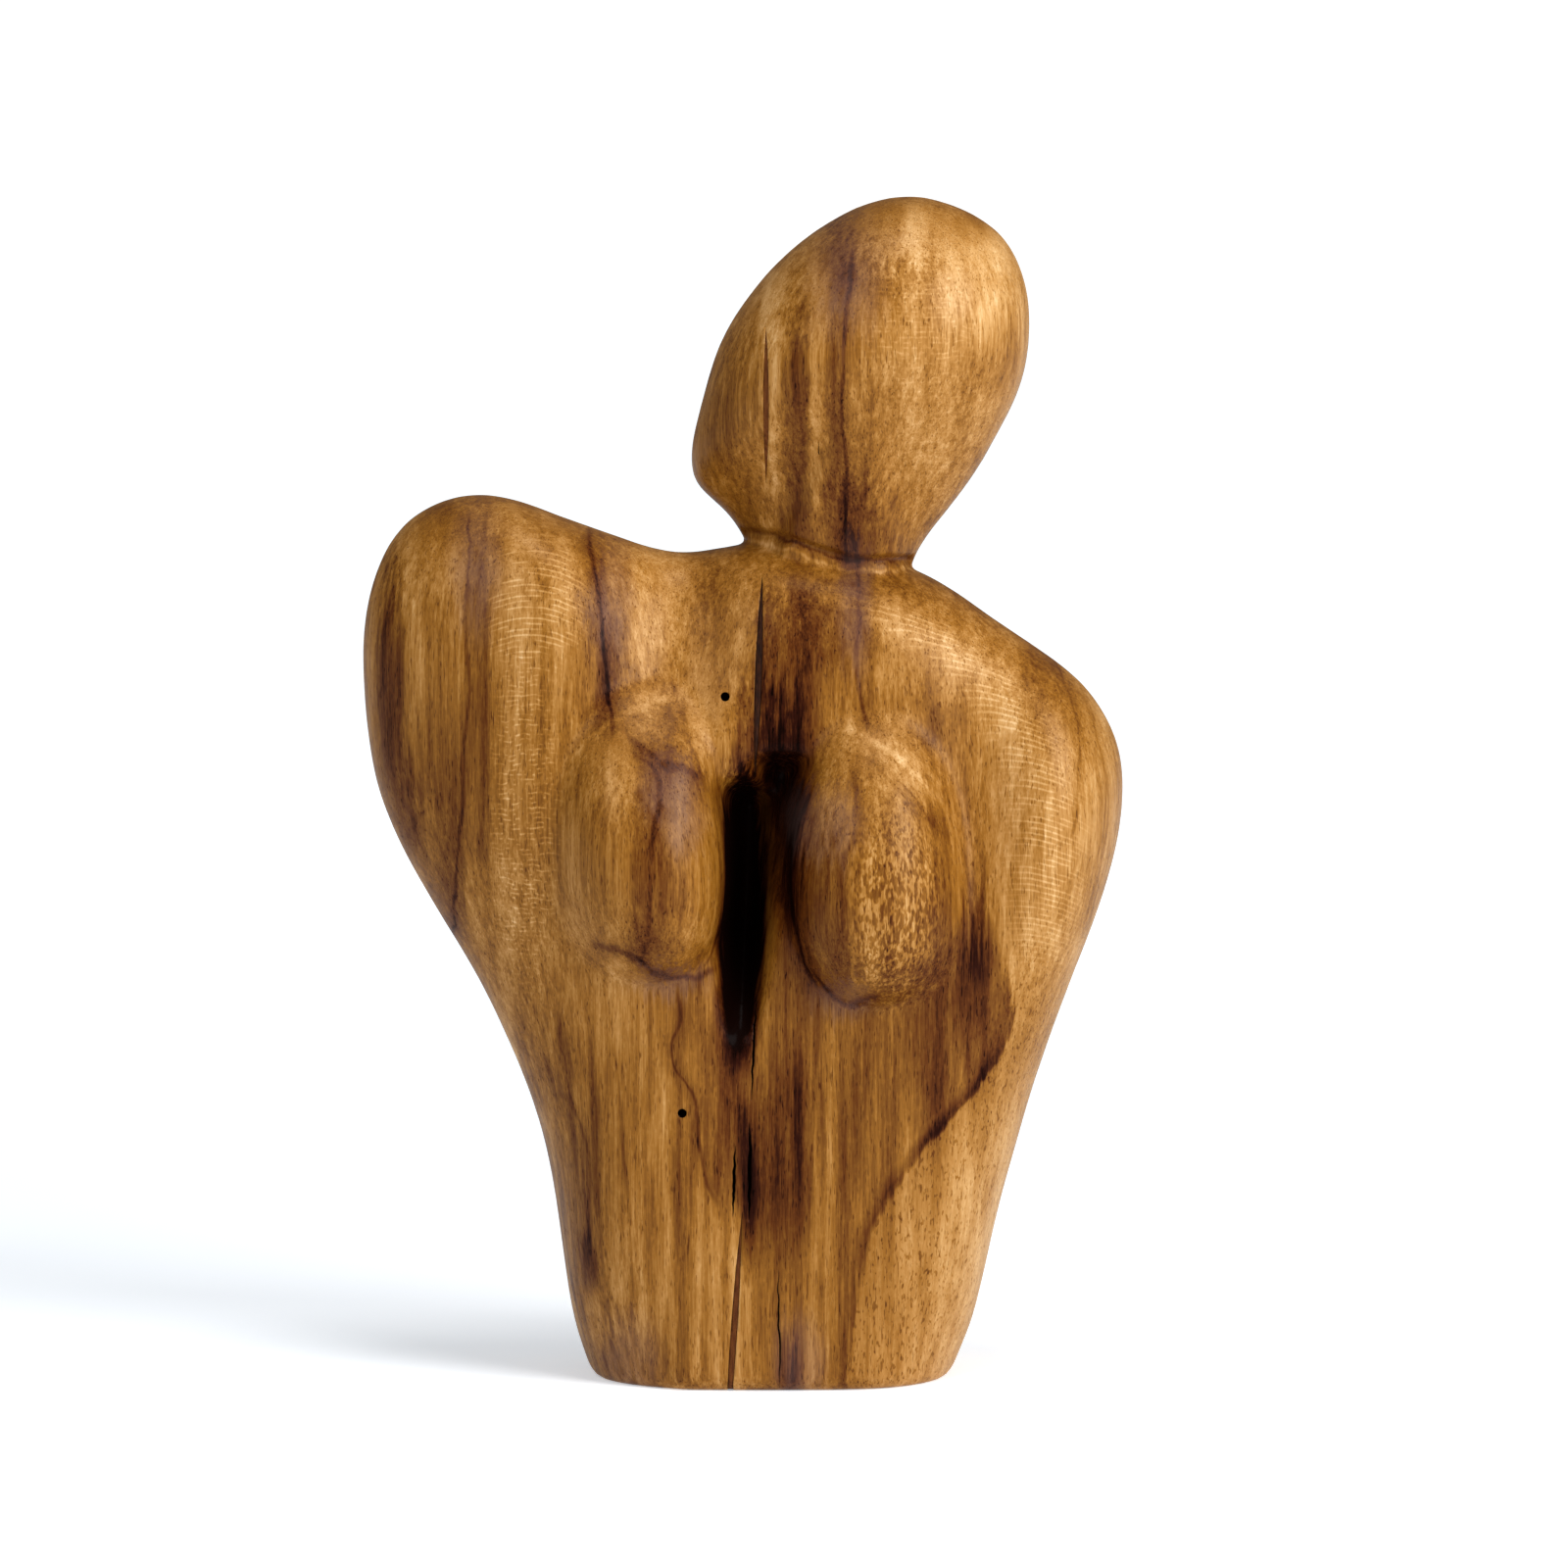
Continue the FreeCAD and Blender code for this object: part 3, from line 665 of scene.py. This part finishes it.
SLITS = (
    {"top": at(-0.0326, 0.227), "foot": at(-0.0332, 0.144), "width": 0.60 * MM},
    {"top": at(-0.0520, 0.207), "foot": at(-0.0545, 0.148), "width": 0.50 * MM},
)
CRACKS = (
    {"top": at(0.0040, 0.102), "foot": at(0.0060, 0.004), "width": 0.28 * MM},
    {"top": at(-0.0245, 0.330), "foot": at(-0.0310, 0.245), "width": 0.35 * MM},
    {"top": at(0.0575, 0.795), "foot": at(0.0560, 0.735), "width": 0.26 * MM},
)
PINHOLES = (at(-0.0646, 0.582), at(-0.1203, 0.2345))

# the crease where the head's neck meets the chest, as (x, z) in millimetres
NECK_LINE = (
    (-7, 143.6), (-4.4, 143.4), (1.7, 142.5), (6.8, 140.7), (13.7, 138.6), (19, 138.9),
    (24.1, 138.6), (27, 139.5),
)
CREASE_DEPTH = 0.85 * MM
CREASE_HALF_WIDTH = 0.75 * MM
CREASE_END = 4.0 * MM  # length over which it starts and ends
CREASE_FRONT = -2.0 * MM  # only what lies in front of this y is creased

# ---- the block, with its checks, slits and pinholes filled in ------------------------------------
cad_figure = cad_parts["carved_figure"]
cad_fillers = [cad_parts[name] for name in FILLERS]
cad_tree = bvhtree.BVHTree.FromPolygons(
    [v.co for v in cad_figure.data.vertices], [p.vertices for p in cad_figure.data.polygons]
)


def front_of_figure(x, z):
    """y of the figure's front beside (x, z), clear of a slit or a hole there."""
    beside = 1.6 * MM
    backwards = Vector((0, 1, 0))
    starts = [Vector((x + dx, CLEAR_IN_FRONT, z)) for dx in (-beside, beside)]
    hits = [cad_tree.ray_cast(start, backwards)[0] for start in starts]
    return sum(hit.y for hit in hits) / 2


def slit_plug(slit):
    outline = lens(slit["top"], slit["foot"], slit["width"] + 2 * PLUG_MARGIN)
    return prism("plug", outline, front_of_figure, front_of_figure(*slit["top"]) + PLUG_DEPTH)


def pinhole_plug(place):
    front = front_of_figure(*place)
    outline = disc(place, PINHOLE_RADIUS + PLUG_MARGIN)
    return prism("plug", outline, lambda x, z: front, front + PLUG_DEPTH)


def filled_block():
    """The whole figure as one even, softened mesh."""
    plugs = [slit_plug(slit) for slit in SLITS] + [pinhole_plug(place) for place in PINHOLES]
    block = joined_copy("figure_wood", [cad_figure, *cad_fillers, *plugs])
    for plug in plugs:
        bpy.data.objects.remove(plug)
    apply_modifier(block, "REMESH", mode="VOXEL", voxel_size=VOXEL)
    apply_modifier(block, "SMOOTH", factor=0.5, iterations=3)
    return block


def wave_height(point, wave):
    x, y, z = point
    spot = Vector((x * wave["across"], y * wave["across"], z * wave["along"]))
    return wave["height"] * noise.noise(spot)


def crease_depth(points):
    """How deep the crease along the neck line is at each point."""
    line = np.array(NECK_LINE) * MM
    x, y, z = points.T
    off = z - np.interp(x, line[:, 0], line[:, 1])
    from_end = np.minimum(x - line[0, 0], line[-1, 0] - x)
    ends = np.clip(from_end / CREASE_END, 0, 1)
    return CREASE_DEPTH * np.exp(-((off / CREASE_HALF_WIDTH) ** 2)) * ends * (y < CREASE_FRONT)


def sand(block, normals):
    """Hand sanding leaves soft waves and a fine crease at the neck; the foot stays flat."""
    points = coordinates(block.data)
    waves = np.array([wave_height(p, LONG_WAVE) + wave_height(p, SHORT_WAVE) for p in points])
    waves *= np.clip((points[:, 2] - STILL_FOOT) / WAVE_RISE, 0.0, 1.0)
    points += normals * waves[:, None]
    points -= normals * crease_depth(points)[:, None]
    put_coordinates(block.data, np.clip(points, FIGURE_LOW, FIGURE_HIGH))


figure = filled_block()
rest_normals = vertex_values(figure.data, "normal")
sand(figure, rest_normals)
figure.data.materials.clear()
figure.data.materials.append(wood_material())

# ---- the checks' slots and their stopping --------------------------------------------------------
STOPPINGS = (
    dark_material("head_stopping", (0.110, 0.033, 0.0070), (0.190, 0.066, 0.0150), 0.55),
    dark_material("chest_stopping", (0.016, 0.0045, 0.0015), (0.050, 0.0140, 0.0035), 0.55),
    dark_material("foot_stopping", (0.085, 0.0240, 0.0050), (0.150, 0.0500, 0.0100), 0.55),
)
# painted shade: near black on every wall the cutters open up
cavity_shade = dark_material("cavity_shade", (0.004, 0.0015, 0.001), (0.02, 0.006, 0.003), 0.75)


def extended_filler(node):
    """A filler's own solid, carried on out through the figure's front and foot."""
    floor_zone = 0.2 * MM  # what is further forward than this from the slot's floor moves
    foot_zone = 0.01 * MM  # and what is lower than this moves down
    cutter = joined_copy("cutter", [node])
    spots = coordinates(cutter.data)
    floor = spots[:, 1].max()
    spots[spots[:, 1] < floor - floor_zone, 1] -= 3 * MM
    spots[spots[:, 2] < foot_zone, 2] -= 2 * MM
    put_coordinates(cutter.data, spots)
    return cutter


def boolean(piece, cutter, operation):
    apply_modifier(piece, "BOOLEAN", operation=operation, object=cutter, solver="MANIFOLD")


recessed = new_object("recessed", figure.data.copy())
put_coordinates(recessed.data, coordinates(figure.data) - rest_normals * STOPPING_RECESS)
for name, node, stopping in zip(FILLERS, cad_fillers, STOPPINGS):
    cutter = extended_filler(node)
    cutter.data.materials.append(cavity_shade)
    stop = new_object(name.replace("filler", "stopping"), cutter.data.copy())
    stop.data.materials.clear()
    boolean(stop, recessed, "INTERSECT")
    stop.data.materials.clear()
    stop.data.materials.append(stopping)
    stop.data.shade_smooth()
    boolean(figure, cutter, "DIFFERENCE")
    bpy.data.objects.remove(cutter)
    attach(stop, "root")
    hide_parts(name)
bpy.data.objects.remove(recessed)


# ---- open slits, hairline cracks and pinholes ----------------------------------------------------
def cut(outline, floor):
    """Cuts an opening with this outline into the figure, from its front to y = floor."""
    cutter = prism("cutter", outline, lambda x, z: CLEAR_IN_FRONT, floor)
    cutter.data.materials.append(cavity_shade)
    boolean(figure, cutter, "DIFFERENCE")
    bpy.data.objects.remove(cutter)


for openings, depth in ((SLITS, SLIT_DEPTH), (CRACKS, CRACK_DEPTH)):
    for slit in openings:
        outline = lens(slit["top"], slit["foot"], slit["width"], SLIT_WOBBLE)
        cut(outline, front_of_figure(*slit["top"]) + depth)
for place in PINHOLES:
    cut(disc(place, PINHOLE_RADIUS), front_of_figure(*place) + PINHOLE_DEPTH)

figure.data.shade_smooth()
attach(figure, "root")
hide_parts("carved_figure")


# ---- studio ---------------------------------------------------------------------------------------
def floor_material():
    """Pale paper that glows faintly, more with distance from the figure."""
    paper = bpy.data.materials.new("pale_floor")
    paper.use_nodes = True
    tree = paper.node_tree
    shader = tree.nodes["Principled BSDF"]
    shader.inputs["Base Color"].default_value = (0.88, 0.89, 0.905, 1)
    shader.inputs["Roughness"].default_value = 0.9
    shader.inputs["Emission Color"].default_value = (0.86, 0.93, 1.0, 1)
    place = tree.nodes.new("ShaderNodeTexCoord")
    away = tree.nodes.new("ShaderNodeVectorMath")
    away.operation = "LENGTH"
    tree.links.new(place.outputs["Object"], away.inputs[0])
    glow = Field(tree, away.outputs["Value"]).ramp(0.28, 1.1, 0.44, 0.95)
    feed(tree, shader.inputs["Emission Strength"], glow)
    return paper


def white_world(seen, light):
    """A white world with one strength for what the camera sees and another for its light."""
    world = bpy.data.worlds.new("studio")
    world.use_nodes = True
    tree = world.node_tree
    sky = tree.nodes["Background"]
    sky.inputs["Color"].default_value = (1.0, 1.0, 1.0, 1)
    rays = tree.nodes.new("ShaderNodeLightPath")
    strength = tree.nodes.new("ShaderNodeMapRange")
    strength.inputs["To Min"].default_value = light
    strength.inputs["To Max"].default_value = seen
    tree.links.new(rays.outputs["Is Camera Ray"], strength.inputs["Value"])
    tree.links.new(strength.outputs["Result"], sky.inputs["Strength"])
    return world


def softbox(name, place, size, power):
    """A round lamp, in metres and watts, that faces the middle of the figure."""
    middle = Vector((0.0, 0.0, 0.11))
    lamp = bpy.data.lights.new(name, "AREA")
    lamp.shape = "DISK"
    lamp.size = size
    lamp.energy = power
    box = new_object(name, lamp)
    box.location = place
    box.rotation_euler = (middle - box.location).to_track_quat("-Z", "Y").to_euler()


side, near, far = 30, -3, 60
floor_corners = [(-side, near, 0), (side, near, 0), (side, far, 0), (-side, far, 0)]
floor_mesh = bpy.data.meshes.new("floor")
floor_mesh.from_pydata(floor_corners, [], [(0, 1, 2, 3)])
floor_mesh.materials.append(floor_material())
floor = new_object("floor", floor_mesh)

SCENE.world = white_world(seen=1.12, light=0.27)
softbox("key_right", (0.80, -0.72, 0.66), 0.75, 13.0)
softbox("fill_left", (-0.60, -0.85, 0.80), 0.60, 3.4)
softbox("top", (0.10, -0.20, 1.10), 0.40, 3.0)

camera_data = bpy.data.cameras.new("camera")
camera_data.lens = 162.5
camera_data.sensor_width = 36.0
camera_data.clip_start = 0.05
camera = new_object("camera", camera_data)
camera.location = (0.0015, -1.2, 0.185)
aim = Vector((0.0015, 0.0, 0.10042))
camera.rotation_euler = (aim - camera.location).to_track_quat("-Z", "Y").to_euler()
SCENE.camera = camera
SCENE.view_settings.view_transform = "Standard"
SCENE.view_settings.look = "None"
SCENE.view_settings.gamma = 0.86
